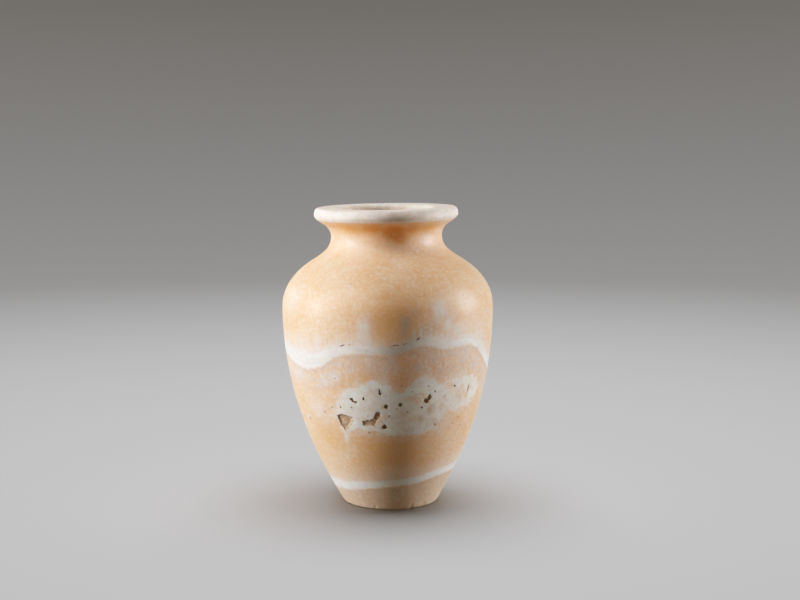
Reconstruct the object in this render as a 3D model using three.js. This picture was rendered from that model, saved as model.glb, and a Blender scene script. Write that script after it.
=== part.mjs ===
// Canopic jar, carved from one block of banded alabaster (calcite).
// Millimetres, +Z up. The origin is the centre of the flat underside.
//
// The jar is a vessel turned and ground by hand: a small flat foot, a long
// flaring body, a full shoulder, a short waisted neck and a thick flaring rim
// with a flat top. It is hollow, drilled out through the mouth, and empty.
// The axis leans a little towards -X while the foot is cut level.

import * as THREE from 'three';
import { mergeVertices } from 'three/addons/utils/BufferGeometryUtils.js';

// ---------------------------------------------------------------- dimensions
const HEIGHT = 300;            // foot to the flat top of the rim
const LEAN_DEG = 0.85;         // lean of the turned axis towards -X
const LEVEL_FOOT = 20;         // height over which the level foot blends into the lean

const FOOT_RADIUS = 47.65;     // the foot's outline, before its worn edge
const FOOT_ANGLE = 61.97;      // slope of the wall as it leaves the foot, degrees
const FOOT_WEAR = 1.2;         // rounding of the worn lower edge
const BELLY_RADIUS = 106.5;    // widest circle of the body
const BELLY_HEIGHT = 199.8;
const SHOULDER_RADIUS = 69.9;  // where the shoulder turns up into the neck
const SHOULDER_HEIGHT = 251.1;
const SHOULDER_ANGLE = 146.4;  // slope there, degrees from +X
const NECK_RADIUS = 55.9;      // waist of the neck, outside
const NECK_HEIGHT = 271.3;
const FLARE_RADIUS = 61.4;     // hollow underside of the rim
const FLARE_HEIGHT = 282.6;
const FLARE_ANGLE = 38.1;
const LIP_RADIUS = 72.6;       // widest circle of the rim
const LIP_HEIGHT = 292.8;
const RIM_TOP_RADIUS = 68.5;   // where the rounded edge meets the flat top

const MOUTH_RADIUS = 46.0;     // bore through the neck
const MOUTH_EDGE = 2.6;        // rounding of the mouth's edge
const BORE_BOTTOM = 262;       // foot of the straight bore
const UNDERCUT_RADIUS = 60;    // inside, where the shoulder has been hollowed
const UNDERCUT_HEIGHT = 239.5;
const HOLLOW_RADIUS = 93.2;    // inside of the belly: a wall of about 13 mm
const HOLLOW_HEIGHT = 197;
const FLOOR_EDGE_RADIUS = 39;  // inside, where the wall turns into the floor
const FLOOR_EDGE_HEIGHT = 33;
const FLOOR_THICKNESS = 27;    // on the axis

const SEGMENTS = 60;           // around the axis

// ---------------------------------------------------------------- profile
const point = (r, z) => new THREE.Vector2(r, z);
const polar = (length, degrees) => point(
  length * Math.cos(THREE.MathUtils.degToRad(degrees)),
  length * Math.sin(THREE.MathUtils.degToRad(degrees)));

// One smooth stretch of the outline from a to b, leaving a along handle ha and
// reaching b along handle hb.
function stretch(a, ha, b, hb, steps) {
  const curve = new THREE.CubicBezierCurve(a, a.clone().add(ha), b.clone().sub(hb), b);
  return curve.getSpacedPoints(steps);
}

function outerProfile() {
  const foot = point(FOOT_RADIUS, 0);
  const belly = point(BELLY_RADIUS, BELLY_HEIGHT);
  const shoulder = point(SHOULDER_RADIUS, SHOULDER_HEIGHT);
  const neck = point(NECK_RADIUS, NECK_HEIGHT);
  const flare = point(FLARE_RADIUS, FLARE_HEIGHT);
  const lip = point(LIP_RADIUS, LIP_HEIGHT);
  const top = point(RIM_TOP_RADIUS, HEIGHT);

  const body = stretch(foot, polar(37.3, FOOT_ANGLE), belly, point(0, 100.7), 14);
  // the lowest edge is worn round: two short facets in place of the sharp corner
  const wear = [
    point(FOOT_RADIUS - FOOT_WEAR, 0),
    point(FOOT_RADIUS + 0.1 * FOOT_WEAR, 0.45 * FOOT_WEAR),
  ];
  body[0] = point(FOOT_RADIUS + 0.75 * FOOT_WEAR, 1.5 * FOOT_WEAR);

  return [
    ...wear,
    ...body,
    ...stretch(belly, point(0, 30.4), shoulder, polar(11.95, SHOULDER_ANGLE), 9).slice(1),
    ...stretch(shoulder, polar(10.0, SHOULDER_ANGLE), neck, point(0, 9.6), 5).slice(1),
    ...stretch(neck, point(0, 5.1), flare, polar(4.2, FLARE_ANGLE), 3).slice(1),
    ...stretch(flare, polar(3.0, FLARE_ANGLE), lip, point(0, 3.75), 4).slice(1),
    ...stretch(lip, point(0, 3.05), top, point(-3.1, 0), 3).slice(1),
  ];
}

function innerProfile() {
  const edge = point(MOUTH_RADIUS + MOUTH_EDGE, HEIGHT);
  const mouth = point(MOUTH_RADIUS, HEIGHT - MOUTH_EDGE);
  const bore = point(MOUTH_RADIUS - 0.5, BORE_BOTTOM);
  const undercut = point(UNDERCUT_RADIUS, UNDERCUT_HEIGHT);
  const hollow = point(HOLLOW_RADIUS, HOLLOW_HEIGHT);
  const floorEdge = point(FLOOR_EDGE_RADIUS, FLOOR_EDGE_HEIGHT);
  const floor = point(0, FLOOR_THICKNESS);

  return [
    ...stretch(edge, point(-1.5, 0), mouth, point(0, -1.5), 2),
    point(MOUTH_RADIUS - 0.2, (HEIGHT + BORE_BOTTOM) / 2),
    ...stretch(bore, point(0, -9), undercut, polar(9, -34), 4),
    ...stretch(undercut, polar(15, -34), hollow, point(0, -22), 6).slice(1),
    ...stretch(hollow, point(0, -92), floorEdge, polar(20, -127), 9).slice(1),
    ...stretch(floorEdge, polar(7, -127), floor, point(-22, 0), 4).slice(1),
  ];
}

const smooth = (t) => { const u = THREE.MathUtils.clamp(t, 0, 1); return u * u * (3 - 2 * u); };

// Lean the turned shape towards -X, keeping the foot level.
function lean(geometry) {
  const a = THREE.MathUtils.degToRad(LEAN_DEG);
  const p = geometry.getAttribute('position');
  for (let i = 0; i < p.count; i++) {
    const x = p.getX(i), y = p.getY(i), z = p.getZ(i);
    const k = smooth(z / LEVEL_FOOT);
    p.setXYZ(i, x * Math.cos(a * k) - z * Math.sin(a), y, z * Math.cos(a) + x * Math.sin(a) * k);
  }
  return geometry;
}

// ---------------------------------------------------------------- the jar
const profile = [point(0, 0), ...outerProfile(), ...innerProfile()];
profile[profile.length - 1].x = 0;

let jarGeometry = new THREE.LatheGeometry(profile, SEGMENTS);
jarGeometry.rotateX(Math.PI / 2);                 // the lathe's axis becomes +Z
jarGeometry.deleteAttribute('normal');
jarGeometry.deleteAttribute('uv');
lean(jarGeometry);
jarGeometry = mergeVertices(jarGeometry, 1e-4);

// the axis points close several triangles to nothing: leave those out
const kept = [];
for (let i = 0; i < jarGeometry.index.count; i += 3) {
  const [a, b, c] = [0, 1, 2].map((k) => jarGeometry.index.getX(i + k));
  if (a !== b && b !== c && c !== a) kept.push(a, b, c);
}
jarGeometry.setIndex(kept);
jarGeometry.computeVertexNormals();

const alabaster = new THREE.MeshStandardMaterial({
  color: 0xe3b98c,
  roughness: 0.42,
  metalness: 0.0,
});

const jar = new THREE.Mesh(jarGeometry, alabaster);
jar.name = 'jar';

const canopicJar = new THREE.Group();
canopicJar.add(jar);

export default canopicJar;
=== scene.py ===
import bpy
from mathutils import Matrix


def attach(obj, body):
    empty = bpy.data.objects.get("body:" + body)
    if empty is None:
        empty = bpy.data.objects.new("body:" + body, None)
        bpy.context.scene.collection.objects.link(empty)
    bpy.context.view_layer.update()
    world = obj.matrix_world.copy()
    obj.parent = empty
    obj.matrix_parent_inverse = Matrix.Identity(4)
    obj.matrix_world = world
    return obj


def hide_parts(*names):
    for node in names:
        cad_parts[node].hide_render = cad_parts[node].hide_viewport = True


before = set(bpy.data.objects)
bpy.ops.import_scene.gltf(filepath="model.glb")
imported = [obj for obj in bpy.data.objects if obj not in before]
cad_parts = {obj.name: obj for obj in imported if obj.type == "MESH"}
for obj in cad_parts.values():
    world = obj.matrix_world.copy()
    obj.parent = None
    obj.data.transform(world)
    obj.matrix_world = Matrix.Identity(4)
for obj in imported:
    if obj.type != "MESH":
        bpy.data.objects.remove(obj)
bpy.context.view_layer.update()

import math

import bpy
import numpy as np

# ------------------------------------------------------------------ the turned shape, in mm
# The same named sizes as the CAD part; the visual surface follows it and adds what the
# hand-ground, weathered stone has: pits, cracks, worn edges, tool marks.
LEAN = math.radians(0.85)
LEVEL_FOOT = 20.0
HEIGHT = 300.0


def P2(r, z):
    return np.array([r, z], float)


def polar(length, degrees):
    return P2(length * math.cos(math.radians(degrees)), length * math.sin(math.radians(degrees)))


def stretch(a, ha, b, hb, step=0.35):
    """Points about `step` mm apart along the cubic from a (leaving along ha) to b (reaching it along hb)."""
    p0, p1, p2, p3 = a, a + ha, b - hb, b
    n = max(8, int(2.2 * np.linalg.norm(p3 - p0) / step))
    t = np.linspace(0, 1, n)[:, None]
    return (1 - t) ** 3 * p0 + 3 * (1 - t) ** 2 * t * p1 + 3 * (1 - t) * t * t * p2 + t ** 3 * p3


FOOT = P2(47.65, 0)
BELLY = P2(106.5, 199.8)
SHOULDER = P2(69.9, 251.1)
NECK = P2(55.9, 271.3)
FLARE = P2(61.4, 282.6)
LIP = P2(72.6, 292.8)
RIM_TOP = P2(68.5, 300.0)
MOUTH_EDGE = P2(48.6, 300.0)
MOUTH = P2(46.0, 297.4)
BORE = P2(45.5, 262.0)
UNDERCUT = P2(60.0, 239.5)
HOLLOW = P2(93.2, 197.0)
FLOOR_EDGE = P2(39.0, 33.0)
FLOOR = P2(0.0, 27.0)

body = stretch(FOOT, polar(37.3, 61.97), BELLY, P2(0, 100.7))
body = body[body[:, 1] > 2.4]
arris = stretch(P2(45.6, 0.0), P2(1.6, 0.0), body[0], polar(1.4, 61.97), 0.2)
outline = [
    ("under", np.stack([np.linspace(0, 45.6, 60), np.zeros(60)], 1)),
    ("outer", arris),
    ("outer", body),
    ("outer", stretch(BELLY, P2(0, 30.4), SHOULDER, polar(11.95, 146.4))),
    ("outer", stretch(SHOULDER, polar(10.0, 146.4), NECK, P2(0, 9.6))),
    ("outer", stretch(NECK, P2(0, 5.1), FLARE, polar(4.2, 38.1))),
    ("outer", stretch(FLARE, polar(3.0, 38.1), LIP, P2(0, 3.75))),
    ("outer", stretch(LIP, P2(0, 3.05), RIM_TOP, P2(-3.1, 0), 0.2)),
    ("outer", np.stack([np.linspace(68.5, 48.6, 60), np.full(60, 300.0)], 1)),
    ("inner", stretch(MOUTH_EDGE, P2(-1.5, 0), MOUTH, P2(0, -1.5), 0.2)),
    ("inner", np.stack([np.linspace(46.0, 45.5, 80), np.linspace(297.4, 262.0, 80)], 1)),
    ("inner", stretch(BORE, P2(0, -9), UNDERCUT, polar(9, -34))),
    ("inner", stretch(UNDERCUT, polar(15, -34), HOLLOW, P2(0, -22))),
    ("inner", stretch(HOLLOW, P2(0, -92), FLOOR_EDGE, polar(20, -127))),
    ("inner", stretch(FLOOR_EDGE, polar(7, -127), FLOOR, P2(-22, 0))),
]
points, kinds = [], []
for kind, part in outline:
    part = part if not points else part[1:]
    points.append(part)
    kinds += [kind] * len(part)
profile = np.vstack(points)
profile[0, 0] = profile[-1, 0] = 0.0
arc = np.concatenate([[0], np.cumsum(np.linalg.norm(np.diff(profile, axis=0), axis=1))])
kinds = np.array(kinds)
S_FOOT = arc[np.argmax(kinds == "outer")]          # arc length where the underside ends
S_MOUTH = arc[np.argmax(kinds == "inner")]         # arc length where the hollow begins
S_FLOOR = arc[-1]
tangent = np.gradient(profile, arc, axis=0)
tangent /= np.maximum(np.linalg.norm(tangent, axis=1), 1e-9)[:, None]


def at(s):
    """Radius, height and outward normal (radial, vertical) at arc length s."""
    r, z = np.interp(s, arc, profile[:, 0]), np.interp(s, arc, profile[:, 1])
    tr, tz = np.interp(s, arc, tangent[:, 0]), np.interp(s, arc, tangent[:, 1])
    m = np.maximum(np.hypot(tr, tz), 1e-9)
    return r, z, tz / m, -tr / m


def smooth(a, b, x):
    t = np.clip((x - a) / (b - a), 0, 1)
    return t * t * (3 - 2 * t)


# ------------------------------------------------------------------ seeded noise
class Noise:
    """Gradient noise, about -1 to 1, one feature per unit."""

    def __init__(self, seed):
        rng = np.random.RandomState(seed)
        self.perm = rng.permutation(256)
        g = rng.normal(size=(256, 3))
        self.grad = g / np.linalg.norm(g, axis=1)[:, None]

    def __call__(self, p):
        p = np.asarray(p, float)
        i = np.floor(p).astype(int)
        f = p - i
        u = f * f * f * (f * (f * 6 - 15) + 10)
        total = 0.0
        for dx in (0, 1):
            for dy in (0, 1):
                for dz in (0, 1):
                    h = self.perm[(i[:, 0] + dx) & 255]
                    h = self.perm[(h + i[:, 1] + dy) & 255]
                    h = self.perm[(h + i[:, 2] + dz) & 255]
                    d = f - np.array([dx, dy, dz])
                    w = (u[:, 0] if dx else 1 - u[:, 0]) * (u[:, 1] if dy else 1 - u[:, 1]) * (u[:, 2] if dz else 1 - u[:, 2])
                    total = total + w * np.einsum("ij,ij->i", self.grad[h], d)
        return total * 1.6

    def layers(self, p, size, octaves=3, keep=0.5):
        out, amp, norm = 0.0, 1.0, 0.0
        for k in range(octaves):
            out = out + amp * self(p * (2.03 ** k / size) + 17.3 * k)
            norm += amp
            amp *= keep
        return out / norm


n_broad, n_mid, n_fine, n_edge, n_tool = (Noise(s) for s in (11, 23, 37, 53, 71))


# ------------------------------------------------------------------ the stone's markings
# Azimuth in degrees, 0 at the front (-Y), positive towards +X. Heights in mm.
BAND1 = [(-77, 162.5), (-65, 159), (-57, 157), (-51, 156.5), (-46, 157), (-41, 158.5), (-37, 160.5), (-32, 165.5),
         (-28, 168.5), (-20, 170.2), (-9, 170.4), (1, 170), (8, 171.8), (13, 174.6), (18, 177), (23, 176.8), (29, 174.3),
         (35, 172.8), (42, 173.2), (48, 173.4), (53, 171.5), (58, 167.5), (63, 161), (68, 154), (76, 145.5), (84, 138.5),
         (100, 132), (122, 130), (145, 135), (168, 143), (192, 151), (216, 157), (240, 161), (262, 164)]
BAND1_HALF = [(-77, 6.0), (-64, 8.0), (-50, 9.2), (-40, 8.0), (-31, 6.2), (-20, 4.9), (-5, 4.5), (8, 4.3), (18, 4.4),
              (30, 5.0), (40, 4.9), (50, 4.2), (60, 5.2), (70, 5.4), (84, 4.4), (120, 5.6), (160, 4.0), (200, 5.8), (250, 4.6)]
BAND2 = [(-80, 21.5), (-64, 23.5), (-52, 24.2), (-43, 24.6), (-35, 26.2), (-28, 27.4), (-18, 28.4), (-5, 29.8), (6, 31.2),
         (17, 32.3), (28, 33.6), (39, 36.4), (48, 37.8), (76, 38.6), (105, 36.5), (135, 32), (165, 26), (195, 21.5),
         (225, 19.5), (255, 20)]
BAND2_HALF = [(-80, 5.4), (-50, 5.0), (-25, 4.3), (-5, 3.7), (15, 3.5), (32, 4.0), (48, 3.9), (76, 3.4), (110, 3.0), (160, 4.2),
              (200, 3.4), (240, 4.4)]
# the open, pitted, chalky patch: its upper and lower edges
PATCH_HIGH = [(-33, 108), (-30, 120), (-26, 128), (-21, 133.5), (-16, 134), (-11, 139), (-8, 143.5), (-4, 138.5), (0, 138), (3, 131),
              (5.5, 128), (9, 129), (12, 134), (15, 141), (20, 143), (24.5, 142), (28.5, 136), (33, 136), (38, 139), (50, 138),
              (58, 135), (66, 124)]
PATCH_LOW = [(-33, 104), (-31.5, 90), (-29, 80), (-27, 84), (-24, 90), (-12, 90), (-7, 86.5), (-3, 83), (10, 83.5), (22, 84.5),
             (26, 88), (31, 91.5), (36, 96), (41, 101), (47, 106), (58, 107), (66, 122)]
# (azimuth, height, half width along the wall, half height, strength): white clouds above the band, plus a painted
# reflection of a softbox edge (the thin strokes at 38.5 and 35.6 degrees) and a painted highlight on the left
# shoulder (at -49 and -38 degrees)
WISPS_AND_HIGHLIGHTS = [(-12.0, 193, 5.5, 9.0, 1.0), (-12.5, 181, 7, 7, 0.7), (-40, 176, 5, 7, 0.55), (-52, 174, 9, 7, 0.35),
         (29, 205, 7.5, 11, 0.95), (33.5, 193, 6, 8, 0.95), (40, 186, 9, 7, 0.6), (58, 184, 12, 10, 0.3),
         (-30, 142, 5, 4, 0.9), (-37, 137, 6, 4, 0.5), (-62, 216, 16, 14, 0.3),
         (-60, 96.6, 7, 1.3, 0.6), (-48.5, 99.6, 7, 1.3, 0.7), (-37, 102.2, 6, 1.3, 0.8), (-48, 109, 16, 8, 0.45), (-44, 103.5, 11, 3.5, 0.55), (-43, 96.5, 8, 5, 0.35), (38, 93, 8, 5, 0.45), (31, 87, 8, 3.5, 0.5),
         # the first four entries here: painted reflection, then painted highlight
         (38.5, 230, 0.7, 13, 0.45), (35.6, 214, 0.7, 9, 0.4), (-49, 243, 1.6, 6, 0.3), (-38, 232, 1.4, 6, 0.25), (-58, 143, 9, 7, 0.3),
         (-28.6, 81.5, 1.9, 6.5, 0.95), (-27, 87.5, 3.2, 3, 0.6),
         (14.2, 184, 0.9, 5, 0.6), (17.6, 187, 1.1, 7, 0.9), (20.4, 187, 0.9, 7.5, 0.75), (23.4, 188, 1.2, 8, 0.9), (26.6, 186, 1.0, 6, 0.7),
         (118, 150, 22, 14, 0.5), (205, 178, 22, 12, 0.55), (235, 186, 14, 12, 0.4), (150, 118, 26, 9, 0.45)]
# grey hazy patches in the translucent stone above the band; the first four, just under the lip, are painted shade
# beneath the rim, darkest at the front
SMOKE_AND_SHADE = [(7, 291.5, 13, 3.2, 1.0), (24, 292.5, 9, 2.2, 0.5), (-22, 291.5, 10, 2.2, 0.45), (196, 292, 14, 3.0, 0.6),
         (9.8, 196, 5.0, 7.5, 0.78), (14, 205, 4.5, 4.5, 0.40), (9.0, 187, 4.8, 8.5, 0.60), (12, 182, 10, 5, 0.4), (20, 188, 9, 6, 0.38),
         (128, 172, 9, 8, 0.5), (221, 190, 7, 8, 0.5)]
# orange stone: partly the stone's own clearer colour, partly painted shade and painted through-stone glow, massed
# down the front centre
GLOW_AND_SHADE = [(6, 194, 25, 25, 0.95), (23.5, 190, 9, 7, 0.85), (5, 177, 17, 12, 0.6), (9, 157, 10, 12, 0.85), (8, 143, 12, 9, 0.7), (3, 66, 36, 19, 1.0),
        (22, 72, 26, 13, 0.45), (-40, 74, 24, 14, 0.55), (-13, 142.5, 20, 7, 0.7), (38, 96, 22, 10, 0.25), (-16, 218, 26, 18, 0.30),
        (22, 222, 22, 16, 0.35), (-60, 128, 16, 12, 0.2),
        (100, 205, 34, 22, 0.45), (146, 192, 34, 20, 0.65), (188, 66, 40, 17, 0.85), (98, 62, 30, 14, 0.45), (140, 76, 26, 12, 0.4),
        (252, 150, 20, 14, 0.45), (236, 214, 30, 18, 0.4), (196, 226, 26, 14, 0.4), (255, 72, 30, 14, 0.35)]
# white veils at the root of the neck, the two on the neck's sides at -36 and 48 degrees being painted highlights; and
# a deep orange band under the rim, partly the stone's own colour and partly painted shade under the lip, deepest at
# the front
VEILS_AND_HIGHLIGHTS = [(-36, 266, 10, 6.5, 0.42), (-56, 261, 12, 7, 0.25), (-18, 258, 16, 6, 0.25), (48, 268, 8, 6, 0.4), (66, 264, 8, 7, 0.2),
         (110, 268, 14, 8, 0.5), (170, 266, 18, 8, 0.4), (225, 268, 15, 9, 0.55)]
AMBER_AND_SHADE = [(7, 280, 18, 8.5, 1.1), (11, 275.5, 15, 7.0, 1.05), (14, 270.5, 7, 4.5, 0.9), (-12, 282.5, 20, 6.5, 1.0), (24, 281, 16, 7.5, 0.9), (18, 275, 10, 8, 0.65), (-34, 282.5, 24, 6.0, 0.85),
         (-58, 284, 20, 4.5, 0.55), (42, 282, 18, 5.5, 0.8), (62, 283, 14, 4, 0.5), (22, 270, 12, 7, 0.35),
         (95, 282, 30, 5, 0.6), (150, 282, 22, 7, 0.8), (156, 274, 9, 8, 0.7), (200, 281, 24, 6, 0.7), (250, 283, 26, 5, 0.6), (285, 284, 20, 5, 0.5)]
# honey stains inside the pitted patch
STAINS = [(26, 108.5, 4.2, 5.5, 0.95), (27, 96, 8, 5.5, 0.6), (-15, 101, 6, 5, 0.3), (19.5, 99.5, 4.6, 4.6, 0.8), (9, 105, 3.4, 4.4, 0.55), (44, 118, 8, 6, 0.42), (33, 110, 5, 4, 0.5), (-9.5, 113, 6, 5, 0.35),
          (-7, 121, 4, 5, 0.3), (-20, 108, 6, 5, 0.3), (-30, 86, 6, 4, 0.3), (36, 103, 9, 5, 0.35), (52, 126, 4, 8, 0.25)]

# (azimuth, height, half width, half height, depth, turn in degrees, raggedness, dark)
# and, where it broke along cleavage planes, the number of sides
PITS = [
    (-27.5, 97.9, 9.6, 9.4, 1.2, 22, 0.22, 0.0, 3),
    (-28.6, 101.6, 4.8, 3.4, 1.3, -22, 0.22, 0.0, 4),
    (-12.9, 96.9, 5.4, 3.5, 1.05, 8, 0.26, 0.0, 5),
    (-9.2, 97.8, 3.8, 3.6, 1.1, -20, 0.26, 0.0, 5),
    (-6.6, 103.9, 3.1, 5.2, 1.2, -22, 0.26, 0.05, 5),
    (-20.9, 120.4, 2.2, 1.3, 1.7, -46, 0.30, 0.7),
    (-19.2, 118.2, 2.6, 1.2, 1.7, -14, 0.30, 0.55),
    (-13.8, 121.9, 1.0, 1.5, 1.4, 0, 0.30, 0.6),
    (-4.6, 129.2, 1.0, 3.2, 1.6, 4, 0.30, 0.7, 3),
    (-4.2, 127.2, 1.5, 1.3, 1.4, 0, 0.30, 0.55),
    (-1.2, 114.2, 2.3, 2.5, 1.8, 24, 0.26, 0.35, 4),
    (-2.4, 92.9, 3.1, 2.9, 1.9, -30, 0.22, 0.65, 3),
    (7.0, 115.7, 2.0, 2.3, 1.8, 20, 0.28, 0.55, 4),
    (22.2, 118.2, 3.5, 3.2, 1.7, 38, 0.22, 0.18, 4),
    (23.9, 121.4, 2.4, 3.2, 1.7, -12, 0.24, 0.18, 4),
    (19.7, 111.6, 1.1, 1.0, 1.3, 0, 0.25, 0.8),
    (11.2, 108.0, 0.8, 0.8, 0.8, 0, 0.25, 0.4),
    (40.5, 129.7, 1.2, 1.2, 1.0, 0, 0.30, 0.3),
    (52.6, 123.2, 0.8, 5.2, 1.3, -14, 0.22, 0.4),
    (29.9, 92.6, 0.8, 1.1, 0.8, 10, 0.30, 0.3),
    (-35.1, 111.0, 1.1, 0.8, 0.8, 30, 0.30, 0.25),
    (-36.8, 108.6, 0.8, 0.6, 0.7, 30, 0.30, 0.2),
    (-41.5, 105.1, 0.8, 0.8, 0.7, 0, 0.30, 0.2),
    (-59.3, 94.8, 1.0, 1.6, 1.0, -20, 0.30, 0.35),
    (-30.0, 141.0, 0.8, 0.8, 0.7, 0, 0.30, 0.2),
    # cracks along the top of the upper band
    (-23.9, 174.0, 2.9, 0.62, 1.0, 20, 0.22, 0.75),
    (-19.8, 175.4, 1.3, 0.45, 0.6, 16, 0.22, 0.35),
    (4.4, 174.6, 4.2, 0.45, 0.7, 6, 0.26, 0.45),
    (9.2, 175.8, 2.4, 0.42, 0.6, 18, 0.26, 0.3),
    (16.2, 180.2, 2.3, 0.70, 1.0, 34, 0.22, 0.85),
    # the hidden side, plainer
    (118, 101, 6.2, 4.6, 2.1, 20, 0.22, 0.10, 4), (124, 97, 2.8, 2.3, 1.7, -30, 0.26, 0.4, 3), (133, 108, 1.9, 2.6, 1.6, 0, 0.30, 0.6, 4),
    (147, 103, 4.4, 3.4, 1.9, -15, 0.22, 0.15, 5), (158, 112, 1.3, 1.3, 1.2, 0, 0.30, 0.6), (171, 99, 3.2, 2.1, 1.6, 30, 0.26, 0.3, 4),
    (206, 118, 2.1, 2.8, 1.6, 10, 0.28, 0.5, 3), (214, 110, 5.2, 3.8, 2.0, -25, 0.22, 0.15, 4), (222, 121, 1.2, 1.0, 1.0, 0, 0.30, 0.6),
    (238, 62, 1.3, 0.9, 0.9, 0, 0.30, 0.5), (96, 166, 2.4, 0.55, 0.8, -12, 0.22, 0.6), (188, 226, 1.4, 1.0, 0.8, 0, 0.30, 0.5),
]
# dots scattered through the pitted patch
_rng = np.random.RandomState(5)
for count, span, rows in ((18, (-29, 60), (86, 136)), (20, (104, 236), (94, 124))):
    for _ in range(count):
        w = _rng.uniform(0.5, 0.85)
        PITS.append((_rng.uniform(*span), _rng.uniform(*rows), w, w * _rng.uniform(0.7, 1.5), _rng.uniform(0.35, 0.7),
                     _rng.uniform(-60, 60), 0.3, _rng.uniform(0.0, 0.3)))


def around(stations, azimuth, cubic=True):
    """A smooth closed curve through (azimuth, value) stations."""
    a = np.array(sorted(((x + 180) % 360 - 180, y) for x, y in stations), float)
    x = np.concatenate([a[-3:, 0] - 360, a[:, 0], a[:3, 0] + 360])
    y = np.concatenate([a[-3:, 1], a[:, 1], a[:3, 1]])
    q = (azimuth + 180) % 360 - 180
    if not cubic:
        return np.interp(q, x, y)
    m = np.gradient(y, x)
    k = np.clip(np.searchsorted(x, q) - 1, 0, len(x) - 2)
    h = x[k + 1] - x[k]
    t = (q - x[k]) / h
    return ((2 * t ** 3 - 3 * t ** 2 + 1) * y[k] + (t ** 3 - 2 * t ** 2 + t) * h * m[k]
            + (-2 * t ** 3 + 3 * t ** 2) * y[k + 1] + (t ** 3 - t ** 2) * h * m[k + 1])


def turn(a, b):
    return (a - b + 180) % 360 - 180


def blobs(stations, azimuth, r, z):
    out = np.zeros_like(z)
    for a, h, w, t, strength in stations:
        d = (np.radians(turn(azimuth, a)) * r / w) ** 2 + ((z - h) / t) ** 2
        out = np.maximum(out, strength * np.exp(-0.9 * d))
    return out


def patch(azimuth, z):
    """How far inside the pitted patch a point is, in mm; negative outside."""
    high = around(PATCH_HIGH, azimuth, False)
    low = around(PATCH_LOW, azimuth, False)
    front = np.minimum(high - z, z - low)
    side = 95 * np.radians(np.minimum(azimuth + 33.0, 65.0 - azimuth))
    front = np.minimum(front, side)
    # hidden side: a longer, flatter patch
    a = turn(azimuth, 170.0)
    taper = (np.abs(a) / 62.0) ** 3
    back = np.minimum(117 + 8 * np.sin(np.radians(a * 3.1)) - 15 * taper - z, z - 93 - 6 * np.cos(np.radians(a * 2.3)) - 9 * taper)
    return np.maximum(front, np.maximum(back, -30))


def thin(azimuth, z):
    """Where the chalk is only a veil over honey stone: 0 solid, 1 nearly gone."""
    out = 0.40 * smooth(30, 38, azimuth) * (1 - smooth(75, 90, azimuth))
    out = np.maximum(out, 0.45 * (1 - smooth(-31, -22, azimuth)) * smooth(-60, -34, azimuth))
    back = 0.30 * smooth(88, 100, np.abs(turn(azimuth, 0.0)))
    return np.maximum(out, back)


# ------------------------------------------------------------------ mesh: refine where it matters
def unpack(V):
    """V holds x, y on the turned surface and arc length."""
    return V[:, 2], np.degrees(np.arctan2(V[:, 0], -V[:, 1]))


def target(V):
    s, azimuth = unpack(V)
    r, z, nr, nz = at(s)
    outer = (s > S_FOOT) & (s < S_MOUTH)
    t = np.full(len(s), 5.2)
    t = np.where(outer & (z > 286), 2.0, t)
    t = np.where(outer & (z > 291) & (r > 66), 1.5, t)
    t = np.where(outer & (z < 6), 1.2, t)
    inner = s >= S_MOUTH
    t = np.where(inner, np.where(z > 255, 3.0, 6.5), t)
    t = np.where(s <= S_FOOT, np.where(r > 40, 1.6, 5.0), t)
    inside = patch(azimuth, z)
    t = np.where(outer & (inside > -2), 3.1, t)
    for a, h, w, ht, *_ in PITS:
        da = np.radians(turn(azimuth, a)) * r
        d = np.hypot(da, z - h)
        size = max(w, ht)
        fine = np.clip(min(w, ht) * 0.43, 0.43, 0.70)
        t = np.where(outer & (d < size * 1.35 + 0.5), np.minimum(t, fine), t)
        t = np.where(outer & (d < size * 1.6 + 1.6), np.minimum(t, 1.3), t)
    return t


def build_grid():
    """Rings of the turned shape, coarse, with one point at each pole."""
    columns = 96
    steps = []
    s, span = 0.0, S_FLOOR
    stops = [S_FOOT, S_MOUTH]
    marks = [0.0]
    for a, b, step in ((0.0, S_FOOT, 7.0), (S_FOOT, S_MOUTH, 5.0), (S_MOUTH, S_FLOOR, 8.0)):
        n = int(math.ceil((b - a) / step))
        marks += list(a + (b - a) * np.arange(1, n + 1) / n)
    V = [(0.0, 0.0, 0.0)]
    rings = []
    for k, s in enumerate(marks[1:-1]):
        r = float(at(np.array([s]))[0][0])
        start = len(V)
        shift = 0.5 * (k % 2)
        for c in range(columns):
            a = 2 * math.pi * (c + shift) / columns
            V.append((r * math.cos(a), r * math.sin(a), s))
        rings.append(start)
    V.append((0.0, 0.0, S_FLOOR))
    top = len(V) - 1
    T = []
    n = columns
    for c in range(n):
        T.append((0, rings[0] + (c + 1) % n, rings[0] + c))
        T.append((top, rings[-1] + c, rings[-1] + (c + 1) % n))
    for k, (a, b) in enumerate(zip(rings, rings[1:])):
        for c in range(n):
            d = (c + 1) % n
            if k % 2 == 0:        # upper ring is shifted half a step forward
                T.append((a + c, a + d, b + c))
                T.append((a + d, b + d, b + c))
            else:
                T.append((a + c, b + d, b + c))
                T.append((a + c, a + d, b + d))
    return np.array(V, float), np.array(T, np.int64)


def settle(V):
    """Puts points back on the turned surface after their x and y were averaged."""
    r = at(V[:, 2])[0]
    m = np.hypot(V[:, 0], V[:, 1])
    k = np.where(m > 1e-9, r / np.maximum(m, 1e-9), 0.0)
    return np.stack([V[:, 0] * k, V[:, 1] * k, V[:, 2]], 1)


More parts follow.
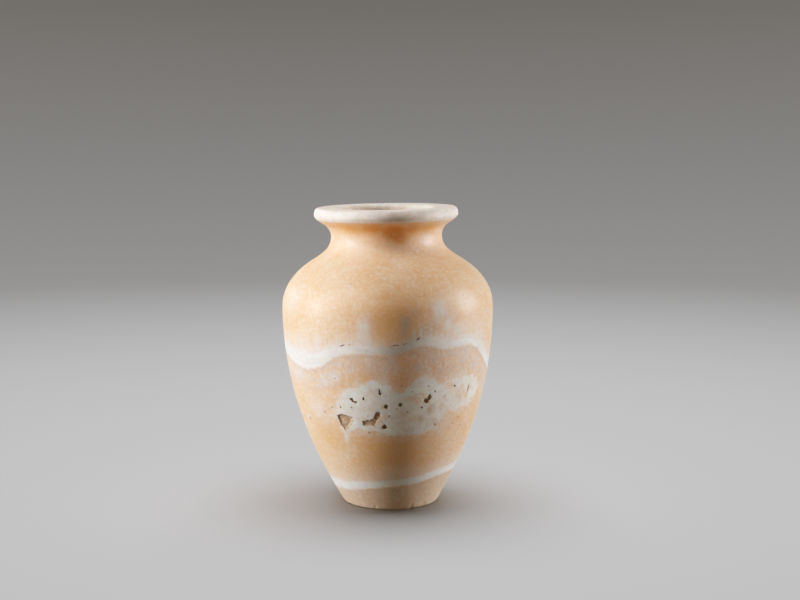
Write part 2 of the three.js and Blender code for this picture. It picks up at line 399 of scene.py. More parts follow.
def refine(V, T, rounds):
    for _ in range(rounds):
        z = at(V[:, 2])[1]
        X = np.stack([V[:, 0], V[:, 1], z], 1)
        E = np.concatenate([T[:, [0, 1]], T[:, [1, 2]], T[:, [2, 0]]])
        E.sort(axis=1)
        U, inv = np.unique(E, axis=0, return_inverse=True)
        inv = inv.reshape(3, -1).T                       # triangle -> its three edges
        L = np.linalg.norm(X[U[:, 0]] - X[U[:, 1]], axis=1)
        W0, W1 = V[U[:, 0]].copy(), V[U[:, 1]].copy()
        # a pole has no direction of its own
        for A, B in ((W0, W1), (W1, W0)):
            pole = np.hypot(A[:, 0], A[:, 1]) < 1e-9
            A[pole, :2] = B[pole, :2]
        n0 = W0[:, :2] / np.maximum(np.hypot(W0[:, 0], W0[:, 1]), 1e-9)[:, None]
        n1 = W1[:, :2] / np.maximum(np.hypot(W1[:, 0], W1[:, 1]), 1e-9)[:, None]
        M = settle(np.concatenate([n0 + n1, (W0[:, 2:] + W1[:, 2:]) / 2], axis=1))
        mark = L > target(M)
        longest = inv[np.arange(len(T)), np.argmax(L[inv], axis=1)]
        for _ in range(60):
            need = mark[inv].any(axis=1)
            before = mark.sum()
            mark[longest[need]] = True
            if mark.sum() == before:
                break
        if not mark.any():
            break
        new = np.full(len(U), -1)
        new[mark] = len(V) + np.arange(mark.sum())
        V = np.vstack([V, M[mark]])
        m = new[inv]                                     # ab, bc, ca midpoints or -1
        out = []
        count = (m >= 0).sum(axis=1)
        out.append(T[count == 0])
        k = count == 3
        a, b, c = T[k].T
        ab, bc, ca = m[k].T
        out += [np.stack(q, 1) for q in ((a, ab, ca), (ab, b, bc), (ca, bc, c), (ab, bc, ca))]
        for r0 in range(3):
            r1, r2 = (r0 + 1) % 3, (r0 + 2) % 3
            k = (count == 1) & (m[:, r0] >= 0)
            a, b, c = T[k][:, r0], T[k][:, r1], T[k][:, r2]
            ab = m[k][:, r0]
            out += [np.stack(q, 1) for q in ((a, ab, c), (ab, b, c))]
            # two marked: r0 and r1 are; split the quad by its longest edge's midpoint
            k = (count == 2) & (m[:, r2] < 0)
            a, b, c = T[k][:, r0], T[k][:, r1], T[k][:, r2]
            ab, bc = m[k][:, r0], m[k][:, r1]
            first = L[inv[k][:, r0]] >= L[inv[k][:, r1]]
            out.append(np.stack((ab, b, bc), 1))
            out.append(np.where(first[:, None], np.stack((a, ab, c), 1), np.stack((a, ab, bc), 1)))
            out.append(np.where(first[:, None], np.stack((ab, bc, c), 1), np.stack((a, bc, c), 1)))
        T = np.vstack(out)
    return V, T


V, T = build_grid()
V, T = refine(V, T, 9)

# ------------------------------------------------------------------ the surface itself
s, azimuth = unpack(V)
r, z, nr, nz = at(s)
length = np.hypot(V[:, 0], V[:, 1])
ux = np.where(length > 1e-9, V[:, 0] / np.maximum(length, 1e-9), 0)
uy = np.where(length > 1e-9, V[:, 1] / np.maximum(length, 1e-9), 0)
Q = np.stack([V[:, 0], V[:, 1], z], 1)                   # on the plain turned surface, mm
outer = (s > S_FOOT) & (s < S_MOUTH)
inner = s >= S_MOUTH

move = np.zeros(len(V))
on = smooth(0.3, 2.5, z) * outer
# ground by hand: long shallow flats and hollows, and a faint out-of-round
move += on * 0.28 * n_broad.layers(Q, 46, 2)
move += on * 0.10 * n_mid.layers(Q * [1, 1, 1.5], 12, 2)
move += on * 0.05 * n_tool(np.stack([Q[:, 0] / 30, Q[:, 1] / 30, z / 2.6], 1))

# the arris of the foot: worn, nicked here and there
foot = outer * (1 - smooth(2.0, 7.5, z))
nick = np.clip(n_edge.layers(np.stack([Q[:, 0], Q[:, 1], z * 0.6], 1), 8.5, 3) - 0.12, 0, 1)
move -= foot * (0.10 + 1.7 * nick)
# the rim: softened edges with shallow bruises, and a slightly uneven flat top
edge = np.exp(-((np.hypot(r - 70.9, (z - 297.4)) / 2.9) ** 2)) * outer
bruise = np.clip(n_edge.layers(Q + 31, 7.0, 3) - 0.20, 0, 1)
move -= edge * (1.1 * bruise)
lip_in = np.exp(-((np.hypot(r - 48.6, (z - 299.7)) / 2.2) ** 2))
move -= lip_in * (0.15 + 1.5 * np.clip(n_edge.layers(Q + 77, 6.0, 3) - 0.10, 0, 1))
top = outer * smooth(299.0, 299.8, z)
move += top * 0.12 * n_mid.layers(Q, 9, 3)

# pits and cracks
pit = np.zeros(len(V))
dark = np.zeros(len(V))
ragged = n_edge.layers(Q + 5, 2.6, 3, 0.6)
grain = n_fine.layers(Q + 9, 1.5, 2)
cut = np.zeros(len(V))
for a, h, w, ht, depth, rot, rag, dk, *sides in PITS:
    da = np.radians(turn(azimuth, a)) * r
    near = outer & (np.abs(da) < 3 * max(w, ht) + 3) & (np.abs(z - h) < 3 * max(w, ht) + 3)
    if not near.any():
        continue
    c, sn = math.cos(math.radians(rot)), math.sin(math.radians(rot))
    x, y = da[near], z[near] - h
    p, q = (x * c + y * sn) / w, (-x * sn + y * c) / ht
    # a broken outline: a few flat-sided cleavage steps rather than an oval
    ang = np.arctan2(q, p)
    if sides:
        n = sides[0]
        side = np.cos(np.mod(ang, 2 * np.pi / n) - np.pi / n) / math.cos(math.pi / n)
        facets = 0.45 * (side - 1)
    else:
        facets = 0.10 * np.cos(3 * ang + a) + 0.08 * np.cos(5 * ang + h)
    rho = np.hypot(p, q) * (1 + facets + rag * ragged[near] * 1.5)
    wall = 1 - smooth(0.70, 1.04, rho)
    floor = 1 + 0.22 * grain[near] + 0.16 * ragged[near] + 0.18 * q
    d = depth * wall * floor
    better = d > cut[near]
    idx = np.flatnonzero(near)
    cut[idx] = np.maximum(cut[idx], d)
    mask = 1 - smooth(1.0, 1.14, rho)
    deep = 1 - smooth(0.80, 1.04, rho)
    up = mask > pit[idx]
    dark[idx] = np.where(up, dk * deep, dark[idx])
    pit[idx] = np.maximum(pit[idx], mask)
move -= cut
# the chalky patch is a little lower and rougher than the polished stone round it
inside = patch(azimuth, z)
chalk = smooth(-1.5, 3.0, inside) * outer
move -= chalk * (0.10 + 0.10 * np.clip(n_mid.layers(Q + 3, 4.2, 3), -0.4, 1))

# inside: the rings that the drill and the grinding stones left
wander = 1.4 * n_broad(Q / 60)
ring = np.sin((z + wander) * 2 * np.pi / 6.7) * 0.6 + np.sin((z + 2 * wander) * 2 * np.pi / 4.1 + 1.3) * 0.4
move += inner * smooth(-1, 6, 297 - z) * smooth(30, 42, z) * (0.30 * ring + 0.35 * n_mid.layers(Q, 15, 2))
move += inner * (1 - smooth(30, 42, z)) * 0.25 * n_mid.layers(Q, 9, 2)

rr = r + move * nr
zz = z + move * nz
zz = np.where(s <= S_FOOT + 0.2, np.maximum(zz, 0), zz)
x0, y0 = ux * rr, uy * rr
k = smooth(0, LEVEL_FOOT, zz)
X = np.stack([x0 * np.cos(LEAN * k) - zz * math.sin(LEAN), y0, zz * math.cos(LEAN) + x0 * math.sin(LEAN) * k], 1)

# face order: outward normals
a, b, c = X[T[:, 0]], X[T[:, 1]], X[T[:, 2]]
volume = np.einsum("ij,ij->i", a, np.cross(b, c)).sum()
if volume < 0:
    T = T[:, ::-1]

mesh = bpy.data.meshes.new("jar_stone")
mesh.from_pydata((X / 1000.0).tolist(), [], T.tolist())
mesh.update()
mesh.validate()
mesh.polygons.foreach_set("use_smooth", np.ones(len(mesh.polygons), bool))


def attribute(name, values):
    layer = mesh.attributes.new(name, "FLOAT", "POINT")
    layer.data.foreach_set("value", np.asarray(values, np.float32))


def disc(q, centre, size, reach):
    return np.stack([centre[0] + 0.5 * size * q[:, 0] / reach, centre[1] + 0.5 * size * q[:, 1] / reach], 1)


def lay_out():
    """One map: the outside unrolled from a seam at the back, the hollow below half its scale, the two floors as discs."""
    corner = T.ravel()
    centre = V[T, :2].mean(axis=1)
    mid_s = V[T, 2].mean(axis=1)
    mid = np.degrees(np.arctan2(centre[:, 0], -centre[:, 1]))
    a = np.repeat(mid, 3) + turn(azimuth[corner], np.repeat(mid, 3))
    along = V[corner, 2]
    u = (a + 185.0) / 370.0
    s_bowl = arc[-1] - 26.0
    where = np.repeat(mid_s, 3)
    uv = np.stack([u, 0.005 + 0.595 * (along - S_FOOT) / (S_MOUTH - S_FOOT)], 1)
    hollow = where >= S_MOUTH
    uv[hollow, 1] = 0.612 + 0.258 * (along[hollow] - S_MOUTH) / (s_bowl - S_MOUTH)
    below = where < S_FOOT
    uv[below] = disc(V[corner[below], :2], (0.06, 0.942), 0.10, 47.0)
    bowl = where > s_bowl
    uv[bowl] = disc(V[corner[bowl], :2], (0.20, 0.942), 0.10, 32.0)
    return uv


layer = mesh.uv_layers.new(name="OFBake")
loops = np.empty(len(mesh.loops), np.int32)
mesh.loops.foreach_get("vertex_index", loops)
if np.array_equal(loops, T.ravel()):
    layer.data.foreach_set("uv", lay_out().astype(np.float32).ravel())
else:
    mesh.uv_layers.remove(layer)

band1 = z - around(BAND1, azimuth)
half1 = around(BAND1_HALF, azimuth)
band2 = z - around(BAND2, azimuth)
attribute("height", z)
attribute("band1", band1)
attribute("half1", half1)
attribute("band2", band2)
attribute("half2", around(BAND2_HALF, azimuth))
attribute("patch", np.clip(inside, -20, 30))
attribute("pit", pit)
attribute("dark", dark)
# white clouds, plus painted highlights and a painted reflection on the shoulders
attribute("wisp_and_highlight", blobs(WISPS_AND_HIGHLIGHTS, azimuth, r, z) * outer)
# white veils, and painted highlights on the neck's sides
attribute("veil", blobs(VEILS_AND_HIGHLIGHTS, azimuth, r, z) * outer)
# deep orange under the rim, partly painted shade under the lip
attribute("amber_and_shade", blobs(AMBER_AND_SHADE, azimuth, r, z) * outer)
# orange stone, with painted shade and painted glow at the front centre
attribute("glow_and_shade", blobs(GLOW_AND_SHADE, azimuth, r, z) * outer)
# grey hazy patches, and painted shade under the lip
attribute("smoke_and_shade", blobs(SMOKE_AND_SHADE, azimuth, r, z) * outer)
attribute("stain", blobs(STAINS, azimuth, r, z) * outer)
attribute("thin", thin(azimuth, z))
attribute("inner", smooth(0, 6, s - S_MOUTH))
attribute("rim", outer * smooth(286.5, 290.5, z + 0.0 * r) + (s >= S_MOUTH) * smooth(285, 298, z))
attribute("under", (s <= S_FOOT) * 1.0)
attribute("edge", np.clip(foot * 0.6 + edge * 0.7 + lip_in * 0.5, 0, 1))
attribute("azimuth", azimuth)

jar = bpy.data.objects.new("jar_stone", mesh)
bpy.context.scene.collection.objects.link(jar)


# ------------------------------------------------------------------ material
class Graph:
    def __init__(self, name):
        self.m = bpy.data.materials.new(name)
        self.m.use_nodes = True
        self.t = self.m.node_tree
        self.t.nodes.clear()
        self.out = self.t.nodes.new("ShaderNodeOutputMaterial")
        self.shader = self.t.nodes.new("ShaderNodeBsdfPrincipled")
        self.t.links.new(self.shader.outputs[0], self.out.inputs[0])

    def put(self, socket, value):
        if isinstance(value, bpy.types.NodeSocket):
            self.t.links.new(value, socket)
        elif isinstance(value, (tuple, list)):
            v = list(value)
            socket.default_value = v + [1.0] * (len(socket.default_value) - len(v))
        else:
            socket.default_value = value

    def math(self, op, a, b=0.0, c=0.0, clamp=False):
        n = self.t.nodes.new("ShaderNodeMath")
        n.operation, n.use_clamp = op, clamp
        for i, v in enumerate((a, b, c)):
            self.put(n.inputs[i], v)
        return n.outputs[0]

    def add(self, a, b):
        return self.math("ADD", a, b)

    def sub(self, a, b):
        return self.math("SUBTRACT", a, b)

    def mul(self, a, b, clamp=False):
        return self.math("MULTIPLY", a, b, clamp=clamp)

    def step(self, v, a, b, lo=0.0, hi=1.0):
        n = self.t.nodes.new("ShaderNodeMapRange")
        n.interpolation_type = "SMOOTHSTEP"
        for name, x in (("Value", v), ("From Min", a), ("From Max", b), ("To Min", lo), ("To Max", hi)):
            self.put(n.inputs[name], x)
        return n.outputs[0]

    def attr(self, name):
        n = self.t.nodes.new("ShaderNodeAttribute")
        n.attribute_name = name
        return n.outputs["Fac"]

    def scaled(self, v, scale, offset=(0, 0, 0)):
        n = self.t.nodes.new("ShaderNodeMapping")
        self.put(n.inputs["Vector"], v)
        n.inputs["Scale"].default_value = scale
        n.inputs["Location"].default_value = offset
        return n.outputs[0]

    def noise(self, v, size=1.0, detail=3.0, rough=0.5, distort=0.0, color=False):
        n = self.t.nodes.new("ShaderNodeTexNoise")
        self.put(n.inputs["Vector"], v)
        n.inputs["Scale"].default_value = 1.0 / size
        n.inputs["Detail"].default_value = detail
        n.inputs["Roughness"].default_value = rough
        n.inputs["Distortion"].default_value = distort
        return n.outputs["Color" if color else "Fac"]

    def cells(self, v, size=1.0, feature="F1", random=1.0):
        n = self.t.nodes.new("ShaderNodeTexVoronoi")
        n.feature = feature
        self.put(n.inputs["Vector"], v)
        n.inputs["Scale"].default_value = 1.0 / size
        n.inputs["Randomness"].default_value = random
        return n.outputs["Distance"]

    def mix(self, f, a, b, blend="MIX"):
        n = self.t.nodes.new("ShaderNodeMix")
        n.data_type, n.blend_type = "RGBA", blend
        n.clamp_factor = True
        self.put(n.inputs[0], f)
        self.put(n.inputs[6], a)
        self.put(n.inputs[7], b)
        return n.outputs[2]

    def combine(self, x, y, z):
        n = self.t.nodes.new("ShaderNodeCombineXYZ")
        for i, v in enumerate((x, y, z)):
            self.put(n.inputs[i], v)
        return n.outputs[0]

    def split(self, v):
        n = self.t.nodes.new("ShaderNodeSeparateXYZ")
        self.put(n.inputs[0], v)
        return n.outputs


g = Graph("alabaster_jar")
coords = g.t.nodes.new("ShaderNodeTexCoord").outputs["Object"]
MM = g.scaled(coords, (1000, 1000, 1000))
px, py, pz = g.split(MM)[0:3]

height = g.attr("height")
b1, h1, b2 = g.attr("band1"), g.attr("half1"), g.attr("band2")
inside_mm = g.attr("patch")
pit_m, dark_m = g.attr("pit"), g.attr("dark")
wisp_and_highlight, veil, amber_and_shade, stain = g.attr("wisp_and_highlight"), g.attr("veil"), g.attr("amber_and_shade"), g.attr("stain")
inner_m, rim_m, under_m, edge_m = g.attr("inner"), g.attr("rim"), g.attr("under"), g.attr("edge")

# noises shared by the layers; sizes in mm
cloud = g.noise(MM, 34, 4, 0.55, 0.3)                      # broad clouds in the stone
mottle = g.noise(g.scaled(MM, (1, 1, 1.25)), 9, 5, 0.6, 0.3)
fine = g.noise(MM, 2.6, 4, 0.65)
speck = g.noise(MM, 1.0, 3, 0.7)
flecks = g.noise(g.scaled(MM, (1, 1, 0.8), (7, 3, 31)), 3.6, 4, 0.72)
fibre = g.noise(g.scaled(MM, (1, 1, 0.13)), 2.6, 4, 0.62)  # upright crystals of the banded layers
fibre_wide = g.noise(g.scaled(MM, (1, 1, 0.16), (40, 0, 0)), 7.5, 3, 0.5)
strata = g.noise(g.combine(g.mul(px, 0.10), g.mul(py, 0.10), b1), 9, 4, 0.55)
strata_fine = g.noise(g.combine(g.mul(px, 0.10), g.mul(py, 0.10), b1), 2.4, 4, 0.6)
ragged_n = g.noise(MM, 6.5, 5, 0.62)
ragged_s = g.sub(ragged_n, 0.5)
glow_and_shade, smoke_and_shade = g.attr("glow_and_shade"), g.attr("smoke_and_shade")

HONEY = (0.85, 0.487, 0.250)
HONEY_PALE = (0.885, 0.585, 0.365)
HONEY_DEEP = (0.785, 0.385, 0.160)
ORANGE_AND_SHADE = (0.82, 0.435, 0.155)
AMBER_DEEP_AND_SHADE = (0.78, 0.275, 0.03)
WHITE = (0.90, 0.85, 0.80)
CREAM = (0.89, 0.69, 0.54)
CHALK = (0.80, 0.745, 0.67)
GREY = (0.62, 0.56, 0.49)
PINK = (0.71, 0.552, 0.488)
BROWN = (0.55, 0.32, 0.17)
DARK = (0.13, 0.075, 0.04)

# honey stone with clouds and faint layers
color = g.mix(g.step(cloud, 0.34, 0.66), HONEY, HONEY_PALE)
color = g.mix(g.mul(g.step(strata, 0.50, 0.74), 0.26), color, HONEY_DEEP)
color = g.mix(g.mul(g.step(strata, 0.48, 0.26), 0.35), color, CREAM)
color = g.mix(g.mul(g.step(mottle, 0.50, 0.74), 0.30), color, HONEY_DEEP)
color = g.mix(g.mul(g.step(mottle, 0.46, 0.26), 0.30), color, CREAM)
color = g.mix(g.step(flecks, 0.53, 0.67, 0.0, 0.42), color, WHITE)
color = g.mix(g.step(flecks, 0.47, 0.33, 0.0, 0.50), color, HONEY_DEEP)
streak = g.noise(g.scaled(MM, (0.11, 0.11, 1), (0, 0, 5)), 1.7, 4, 0.6)
color = g.mix(g.step(streak, 0.52, 0.70, 0.0, 0.24), color, CREAM)
color = g.mix(g.step(streak, 0.48, 0.32, 0.0, 0.20), color, HONEY_DEEP)
# orange stone, with painted shade and painted glow down the front centre
glow_and_shade_m = g.mul(g.step(g.add(glow_and_shade, g.mul(ragged_s, 0.45)), 0.04, 0.95), g.step(mottle, 0.24, 0.50, 0.78, 1.0))
color = g.mix(g.mul(glow_and_shade_m, 0.92), color, ORANGE_AND_SHADE)
neck_zone = g.mul(g.step(height, 250, 263), 0.50)
color = g.mix(g.mul(neck_zone, g.step(mottle, 0.40, 0.62, 0.4, 1.0)), color, (0.85, 0.52, 0.345))
# deep orange under the rim: the stone's own colour, and painted shade under the lip, deepest at the front centre
amber_and_shade_m = g.step(g.add(amber_and_shade, g.mul(ragged_s, 0.35)), 0.10, 0.72)
color = g.mix(g.mul(amber_and_shade_m, 0.92), color, (0.80, 0.385, 0.115))
color = g.mix(g.mul(g.step(g.add(amber_and_shade, g.mul(ragged_s, 0.3)), 0.60, 1.0), 0.95), color, AMBER_DEEP_AND_SHADE)

# fibrous, browner layer under the upper band
lower = g.add(b1, g.mul(ragged_s, 7.0))
zone = g.mul(g.step(lower, -3.0, -7.0), g.step(g.add(lower, g.mul(g.sub(fibre_wide, 0.5), 16.0)), -42, -20))
blotch = g.noise(g.scaled(MM, (0.8, 0.8, 1.3), (3, 9, 21)), 6.5, 5, 0.62, 0.3)
drift = g.noise(g.scaled(MM, (1, 1, 1.6), (9, 2, 14)), 15, 3, 0.5, 0.4)
zone_p = g.mul(g.mul(zone, g.sub(1.0, g.mul(glow_and_shade, 0.75))), g.step(drift, 0.36, 0.56, 0.40, 1.0))
color = g.mix(g.mul(zone_p, g.step(blotch, 0.36, 0.58, 0.18, 0.86)), color, PINK)
color = g.mix(g.mul(zone_p, g.step(fibre, 0.50, 0.72, 0.0, 0.30)), color, WHITE)
color = g.mix(g.mul(zone_p, g.step(fibre, 0.48, 0.32, 0.0, 0.18)), color, (0.56, 0.36, 0.24))
color = g.mix(g.mul(zone, g.step(flecks, 0.52, 0.68, 0.0, 0.42)), color, (0.90, 0.80, 0.71))
color = g.mix(g.mul(zone, g.step(flecks, 0.46, 0.32, 0.0, 0.30)), color, (0.66, 0.40, 0.23))
color = g.mix(g.mul(zone, g.step(speck, 0.60, 0.74, 0.0, 0.45)), color, (0.94, 0.89, 0.84))
# a thin red-brown line where the band's foot meets it
foot_line = g.add(lower, h1)
line = g.mul(g.step(foot_line, -6.5, -1.6), g.step(foot_line, 1.6, -0.6))
color = g.mix(g.mul(line, g.step(ragged_n, 0.40, 0.62, 0.10, 0.60)), color, (0.58, 0.41, 0.32))

# grey and pink streaks rising from the band's top
upper = g.sub(b1, h1)
rise = g.mul(g.step(upper, -1.0, 1.5), g.step(g.add(upper, g.mul(g.sub(fibre_wide, 0.5), 34.0)), 19.0, 0.0))
haze = g.mul(rise, g.sub(1.0, g.mul(glow_and_shade, 0.55)))
color = g.mix(g.mul(haze, g.step(fibre, 0.36, 0.66, 0.18, 0.66)), color, (0.85, 0.755, 0.69))
color = g.mix(g.mul(rise, g.step(fibre, 0.46, 0.30, 0.0, 0.38)), color, (0.62, 0.41, 0.29))
# grey hazy patches, and painted shade just under the lip
smoky_and_shade = g.mul(smoke_and_shade, g.step(g.add(fibre_wide, ragged_s), 0.26, 0.52, 0.6, 1.0))
color = g.mix(smoky_and_shade, color, (0.48, 0.405, 0.335))
# white clouds, with the painted highlight and painted reflection on the shoulders
cloudy_and_highlight = g.mul(wisp_and_highlight, g.step(g.add(fibre_wide, g.mul(ragged_s, 0.8)), 0.28, 0.56, 0.45, 1.0))
color = g.mix(cloudy_and_highlight, color, (0.85, 0.815, 0.785))

# pitted chalky patch
thin_m = g.attr("thin")
edge_in = g.add(inside_mm, g.add(g.mul(ragged_s, 15.0), g.mul(g.sub(fine, 0.5), 6.0)))
patch_m = g.step(edge_in, -2.2, 2.8)
holes = g.noise(g.scaled(MM, (1, 1, 0.9), (13, 5, 2)), 12, 4, 0.62, 0.5)
veil_m = g.mul(patch_m, g.step(g.add(holes, g.mul(thin_m, -0.16)), 0.30, 0.45, 0.22, 1.0))
veil_m = g.mul(veil_m, g.sub(1.0, g.mul(thin_m, 0.35)))
chalk_c = g.mix(g.step(mottle, 0.38, 0.58), (0.87, 0.83, 0.775), (0.95, 0.925, 0.89))
chalk_c = g.mix(g.step(blotch, 0.48, 0.66, 0.0, 0.38), chalk_c, (0.70, 0.645, 0.57))
chalk_c = g.mix(g.step(fine, 0.52, 0.72, 0.0, 0.32), chalk_c, GREY)
chalk_c = g.mix(g.step(fine, 0.46, 0.28, 0.0, 0.55), chalk_c, (0.95, 0.925, 0.895))
chalk_c = g.mix(g.step(speck, 0.58, 0.74, 0.0, 0.30), chalk_c, (0.58, 0.49, 0.40))
chalk_c = g.mix(g.mul(stain, g.step(ragged_n, 0.34, 0.58, 0.45, 1.0)), chalk_c, (0.64, 0.42, 0.23))
color = g.mix(g.mul(veil_m, 0.96), color, chalk_c)
# a pale halo where it dies out
halo = g.mul(g.step(edge_in, -9.0, -1.0), g.step(edge_in, 3.0, -1.0))
color = g.mix(g.mul(halo, g.step(holes, 0.42, 0.62, 0.0, 0.38)), color, WHITE)

# the two white bands
feather = g.add(upper, g.add(g.mul(g.sub(fibre, 0.5), -8.0), g.mul(ragged_s, 4.0)))
top_side = g.step(feather, 5.4, -3.8)
foot_side = g.step(g.add(g.add(b1, h1), g.add(g.mul(ragged_s, 5.0), g.mul(g.sub(fibre, 0.5), 2.0))), -1.8, 2.4)
band_m = g.mul(top_side, foot_side)
band_c = g.mix(g.step(strata_fine, 0.36, 0.66), (0.83, 0.785, 0.755), (0.93, 0.90, 0.88))
band_c = g.mix(g.step(mottle, 0.46, 0.70, 0.0, 0.45), band_c, (0.80, 0.71, 0.645))
band_c = g.mix(g.step(fibre, 0.50, 0.68, 0.0, 0.26), band_c, (0.72, 0.65, 0.605))
side_on = g.attr("azimuth")
clear = g.mul(g.step(side_on, -16, 6), g.step(side_on, 22, 9))       # painted shade: the band darker and greyer down the front centre
band_c = g.mix(g.math("MAXIMUM", g.mul(clear, 0.80), g.mul(glow_and_shade, 0.6)), band_c, (0.58, 0.515, 0.47))
color = g.mix(g.mul(band_m, g.step(ragged_n, 0.26, 0.48, 0.74, 0.96)), color, band_c)

h2 = g.attr("half2")
b2w = g.add(b2, g.mul(ragged_s, 4.2))
fade = g.step(g.add(b2w, g.mul(g.sub(fibre_wide, 0.5), 14.0)), 23.0, 1.0, 0.0, 0.60)
color = g.mix(g.mul(g.step(b2w, 0.0, 3.0), fade), color, (0.85, 0.745, 0.665))
band2_m = g.mul(g.step(g.add(g.sub(b2w, h2), g.mul(g.sub(fibre, 0.5), -4.0)), 2.4, -2.0), g.step(g.add(b2w, h2), -1.6, 1.8))
color = g.mix(g.mul(band2_m, g.step(mottle, 0.25, 0.50, 0.80, 0.98)), color, (0.95, 0.92, 0.895))

# tan, dirtier stone near the foot, and painted contact shade in its lowest 6 mm
tan = g.step(g.add(b2w, g.mul(ragged_s, 3.0)), -2.5, -6.0)
color = g.mix(g.mul(tan, 0.58), color, (0.66, 0.52, 0.41))
color = g.mix(g.mul(tan, g.step(flecks, 0.52, 0.66, 0.0, 0.50)), color, (0.79, 0.695, 0.605))
color = g.mix(g.mul(tan, g.step(mottle, 0.52, 0.72, 0.0, 0.45)), color, (0.60, 0.44, 0.31))
# painted shade: darker and browner in the lowest 6 mm, where the foot meets the floor
low_contact_shade = g.mul(g.step(height, 6.0, 0.0), g.step(fine, 0.40, 0.62, 0.25, 1.0))
color = g.mix(g.mul(low_contact_shade, 0.40), color, (0.50, 0.38, 0.27))

# veils at the neck, and painted highlights on the neck's two sides
color = g.mix(g.mul(veil, g.step(g.add(g.mul(flecks, 0.6), g.mul(mottle, 0.4)), 0.40, 0.60, 0.15, 0.65)), color, (0.88, 0.75, 0.665))

# the rim: bleached, chalky, faintly specked
rim_edge = g.step(g.add(rim_m, g.mul(ragged_s, 0.45)), 0.24, 0.80)
rim_c = g.mix(g.step(mottle, 0.40, 0.62), (0.90, 0.835, 0.785), (0.80, 0.72, 0.655))
rim_c = g.mix(g.step(flecks, 0.52, 0.68, 0.0, 0.55), rim_c, (0.66, 0.61, 0.545))
rim_c = g.mix(g.step(flecks, 0.46, 0.32, 0.0, 0.50), rim_c, (0.94, 0.91, 0.875))
rim_c = g.mix(g.step(speck, 0.58, 0.72, 0.0, 0.50), rim_c, (0.52, 0.46, 0.40))
color = g.mix(g.mul(rim_edge, 0.95), color, rim_c)
# painted shade on the rim's lower face, darkest at the front centre
color = g.mix(g.mul(g.mul(smoke_and_shade, rim_edge), g.step(fine, 0.30, 0.60, 0.45, 0.85)), color, (0.47, 0.42, 0.33))
# its top is worn through to the warmer stone here and there
worn = g.mul(g.step(height, 298.6, 299.7), g.step(mottle, 0.42, 0.58, 0.0, 0.60))
color = g.mix(worn, color, (0.80, 0.665, 0.54))
grime = g.mul(rim_edge, g.step(g.noise(g.scaled(MM, (1, 1, 1.3), (3, 3, 8)), 5.5, 5, 0.68), 0.56, 0.70, 0.0, 0.55))
color = g.mix(grime, color, (0.56, 0.485, 0.40))

# inside: duller, with old residue
inside_c = g.mix(g.step(mottle, 0.38, 0.66), (0.80, 0.645, 0.49), (0.70, 0.54, 0.40))
color = g.mix(g.mul(inner_m, g.step(height, 299, 284, 0.25, 0.88)), color, inside_c)

# the underside: ground flat, scuffed
color = g.mix(g.mul(under_m, g.step(mottle, 0.35, 0.65, 0.35, 0.75)), color, (0.64, 0.50, 0.37))

# pits: brown clay in the floors, nearly black in the small deep ones
pit_c = g.mix(g.step(fine, 0.36, 0.66), (0.42, 0.26, 0.15), (0.58, 0.385, 0.245))
color = g.mix(g.mul(pit_m, g.step(ragged_n, 0.2, 0.5, 0.80, 1.0)), color, pit_c)
color = g.mix(g.mul(dark_m, 0.85), color, DARK)

# all over: a fine grain of lighter and darker crystals
color = g.mix(g.step(fine, 0.54, 0.72, 0.0, 0.26), color, (0.95, 0.89, 0.82))
color = g.mix(g.step(fine, 0.46, 0.29, 0.0, 0.24), color, (0.56, 0.38, 0.24))
color = g.mix(g.step(speck, 0.58, 0.74, 0.0, 0.32), color, (0.96, 0.91, 0.85))
color = g.mix(g.step(speck, 0.42, 0.27, 0.0, 0.26), color, (0.50, 0.34, 0.21))
g.put(g.shader.inputs["Base Color"], color)

rough = g.step(fine, 0.30, 0.70, 0.38, 0.54)
rough = g.add(rough, g.step(speck, 0.54, 0.62, 0.0, -0.22))
rough = g.add(rough, g.mul(patch_m, 0.16))
rough = g.add(rough, g.mul(rim_edge, 0.20))
rough = g.add(rough, g.mul(pit_m, 0.30))
rough = g.add(rough, g.mul(inner_m, 0.18))
rough = g.add(rough, g.mul(g.step(height, 10, 0), 0.15))
g.put(g.shader.inputs["Roughness"], g.math("MINIMUM", rough, 0.9))

# relief: crystals standing a hair proud, hand grinding, softer chalk
micro = g.noise(MM, 1.5, 3, 0.55)
grind = g.noise(g.scaled(MM, (0.12, 0.12, 1)), 1.1, 3, 0.6)
relief = g.add(g.mul(micro, 0.6), g.mul(grind, 0.25))
relief = g.add(relief, g.mul(g.mul(patch_m, fine), 1.5))
relief = g.add(relief, g.mul(g.mul(rim_edge, fine), 0.9))
relief = g.add(relief, g.mul(pit_m, g.mul(fine, 2.0)))
bump = g.t.nodes.new("ShaderNodeBump")
bump.inputs["Strength"].default_value = 0.5
bump.inputs["Distance"].default_value = 0.00034
g.put(bump.inputs["Height"], relief)
g.t.links.new(bump.outputs[0], g.shader.inputs["Normal"])

g.shader.inputs["Subsurface Weight"].default_value = 0.85
g.shader.inputs["Subsurface Radius"].default_value = (1.0, 0.55, 0.30)
g.shader.inputs["Subsurface Scale"].default_value = 0.006
g.shader.inputs["IOR"].default_value = 1.50
g.shader.inputs["Specular IOR Level"].default_value = 0.45
mesh.materials.append(g.m)

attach(jar, "root")
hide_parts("jar")


# ------------------------------------------------------------------ plain pale room and soft light
def plain(name, rgb, roughness):
    m = bpy.data.materials.new(name)
    m.use_nodes = True
    n = m.node_tree.nodes["Principled BSDF"]
    n.inputs["Base Color"].default_value = (*rgb, 1)
    n.inputs["Roughness"].default_value = roughness
    n.inputs["Specular IOR Level"].default_value = 0.2
    return m


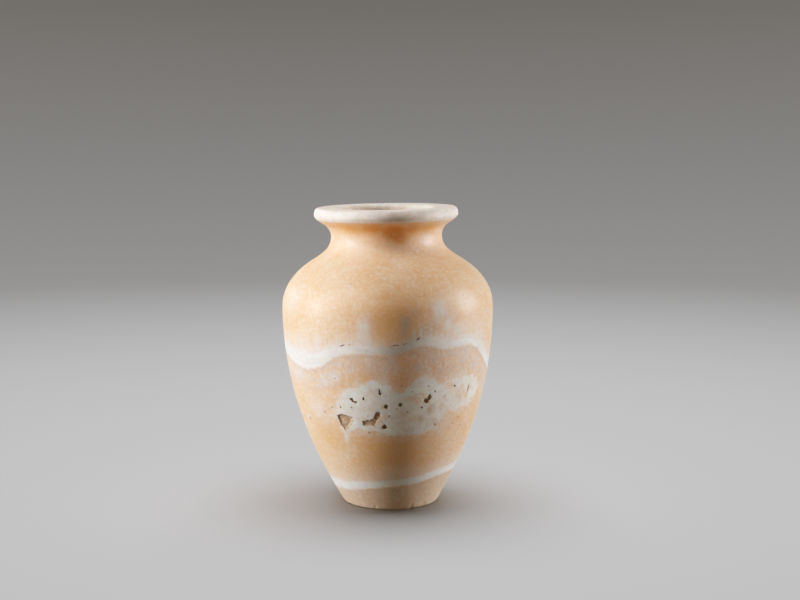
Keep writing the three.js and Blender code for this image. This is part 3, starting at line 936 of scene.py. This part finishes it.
def sweep(radius, wall, bend, columns=96):
    """A round floor that curves up into a wall, one smooth sheet."""
    path = [(0.0, 0.0)] + [((radius - bend) * f, 0.0) for f in (0.15, 0.3, 0.5, 0.75)]
    path += [(radius - bend + bend * math.sin(t), bend - bend * math.cos(t)) for t in np.linspace(0, math.pi / 2, 14)]
    path += [(radius, wall)]
    verts, faces = [(0.0, 0.0, 0.0)], []
    for pr, ph in path[1:]:
        for c in range(columns):
            a = 2 * math.pi * c / columns
            verts.append((pr * math.cos(a), pr * math.sin(a), ph))
    for c in range(columns):
        faces.append((0, 1 + c, 1 + (c + 1) % columns))
    for k in range(len(path) - 2):
        for c in range(columns):
            a, b = 1 + k * columns + c, 1 + k * columns + (c + 1) % columns
            faces.append((a, a + columns, b + columns, b))
    me = bpy.data.meshes.new("backdrop")
    me.from_pydata(verts, [], faces)
    me.polygons.foreach_set("use_smooth", np.ones(len(me.polygons), bool))
    ob = bpy.data.objects.new("backdrop", me)
    bpy.context.scene.collection.objects.link(ob)
    me.materials.append(plain("backdrop_pale", (0.45, 0.46, 0.48), 0.8))
    ob.visible_diffuse = False        # the room is matt and far off: it doesn't fill the shadows
    return ob


backdrop = sweep(3.2, 2.6, 1.1)

# the side lights are for the jar alone, and one broad light overhead is for the room
for_jar, for_room = bpy.data.collections.new("lit_jar"), bpy.data.collections.new("lit_room")
for_jar.objects.link(jar)
for_room.objects.link(backdrop)


def softbox(name, azimuth, elevation, distance, size, power, color=(1, 1, 1), aim=(0, 0, 0.16), onto=for_jar):
    """A square soft light; azimuth 0 is the camera's side, positive to the right."""
    light = bpy.data.lights.new(name, "AREA")
    light.shape = "RECTANGLE"
    light.size, light.size_y = size
    light.energy = power
    light.color = color
    light.spread = math.radians(150)
    ob = bpy.data.objects.new(name, light)
    a, e = math.radians(azimuth), math.radians(elevation)
    from mathutils import Vector
    at_ = Vector((math.sin(a) * math.cos(e), -math.cos(a) * math.cos(e), math.sin(e))) * distance + Vector(aim)
    ob.location = at_
    ob.rotation_euler = (Vector(aim) - at_).to_track_quat("-Z", "Y").to_euler()
    ob.visible_camera = False
    bpy.context.scene.collection.objects.link(ob)
    ob.light_linking.receiver_collection = onto
    return ob


softbox("key_left", -81, 12, 1.4, (0.62, 0.85), 20.0)
softbox("top_left", -66, 42, 1.4, (0.5, 0.9), 7.4)
softbox("key_right", 94, 12, 1.4, (0.55, 0.85), 16.2)
softbox("fill_back", 180, 42, 2.2, (1.6, 1.2), 7.5)
softbox("overhead", 180, 84, 2.3, (2.4, 2.4), 72.0, onto=for_room)

world = bpy.data.worlds.new("soft")
world.use_nodes = True
world.node_tree.nodes["Background"].inputs["Color"].default_value = (1.0, 0.76, 0.47, 1)
world.node_tree.nodes["Background"].inputs["Strength"].default_value = 0.118
bpy.context.scene.world = world
view = bpy.context.scene.view_settings
view.view_transform = "Standard"
# a soft shoulder, as film has, so that the lit sides don't burn out
view.use_curve_mapping = True
reach = 1.8
view.curve_mapping.white_level = (reach, reach, reach)
curve = view.curve_mapping.curves[3]
curve.points[0].location = (0.0, 0.0)
curve.points[1].location = (1.0, 1.0)
for x in (0.06, 0.14, 0.25, 0.40, 0.60, 0.80):
    curve.points.new(x, (1 - math.exp(-reach * x)) / (1 - math.exp(-reach)))
view.curve_mapping.update()

# ------------------------------------------------------------------ camera
cam = bpy.data.cameras.new("camera")
cam.sensor_width = 36.0
cam.lens = 67.94
cam.clip_start, cam.clip_end = 0.05, 20
camera = bpy.data.objects.new("camera", cam)
camera.location = (0.009667, -1.520357, 0.38965)
camera.rotation_euler = (math.radians(90 - 6.904), 0, 0)
bpy.context.scene.collection.objects.link(camera)
bpy.context.scene.camera = camera

bpy.context.view_layer.update()
